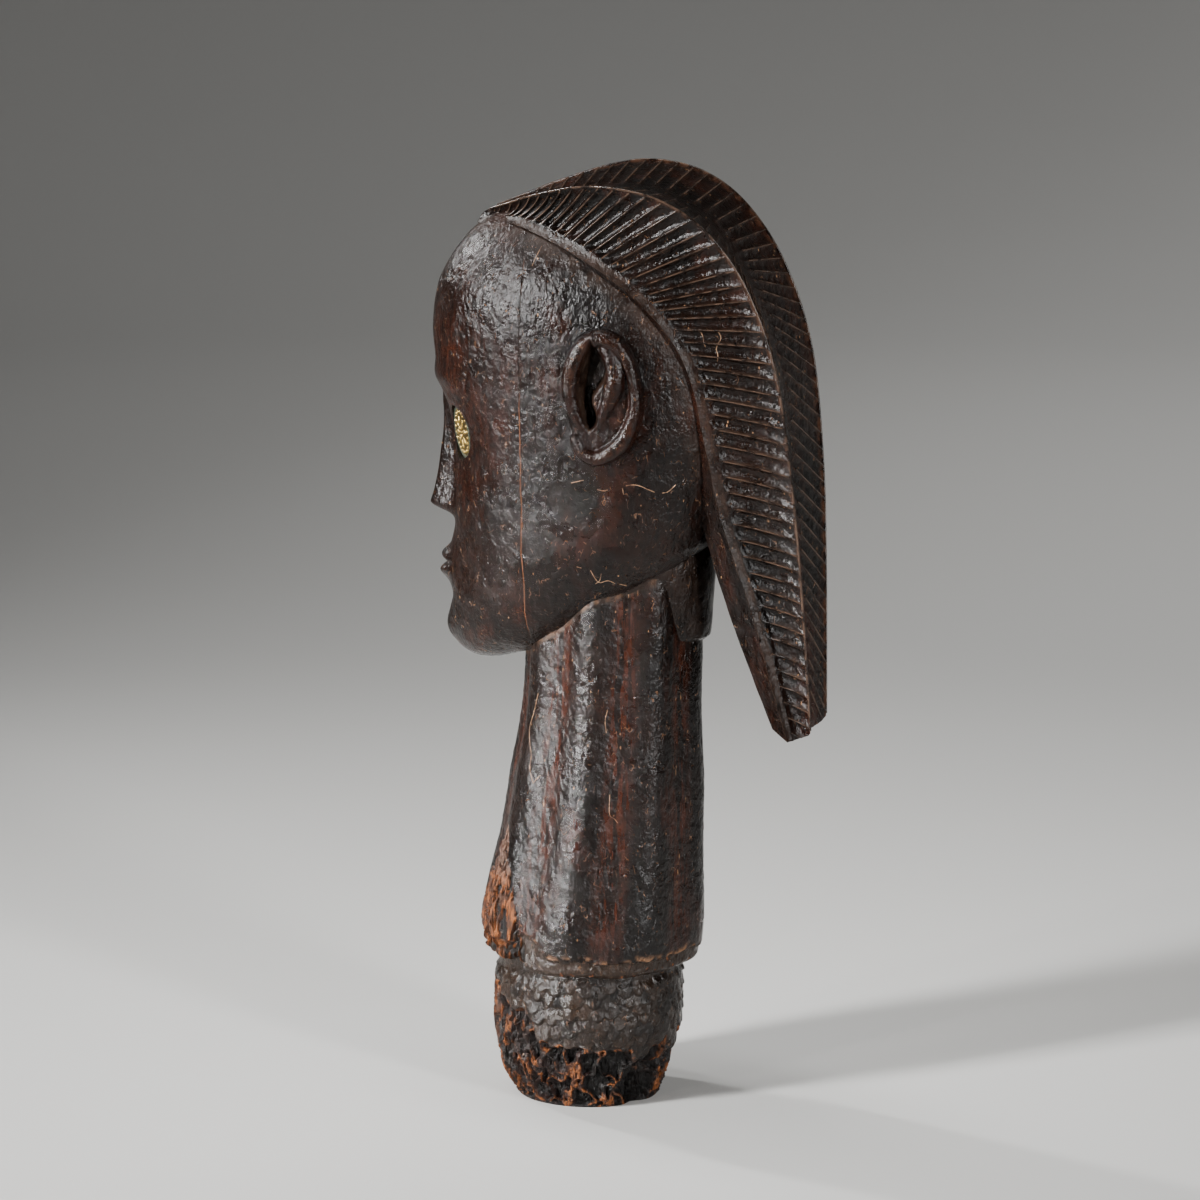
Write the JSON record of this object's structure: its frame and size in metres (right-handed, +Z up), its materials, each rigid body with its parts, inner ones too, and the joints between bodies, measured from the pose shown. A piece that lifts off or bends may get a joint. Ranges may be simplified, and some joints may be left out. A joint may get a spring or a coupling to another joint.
{
  "type": "reliquary head",
  "caption": "Carved wooden head on a long flared neck and rough peg, with a fluted hanging coiffure and brass disc eyes.",
  "frame": {"origin": "middle of the peg's flat underside, on which the head stands", "axes": "+Z up the neck, -Y the way the face looks, +X the figure's left side"},
  "size_m": [0.114, 0.1779, 0.42],
  "materials": {
    "dark_wood": "dark oiled and handled hardwood, worn to brown fibres at the peg",
    "brass": "aged embossed sheet brass with a grey-green rim"
  },
  "bodies": {
    "root": {"carved_head": "dark_wood", "left_eye_disc": "brass", "right_eye_disc": "brass"}
  },
  "joints": []
}
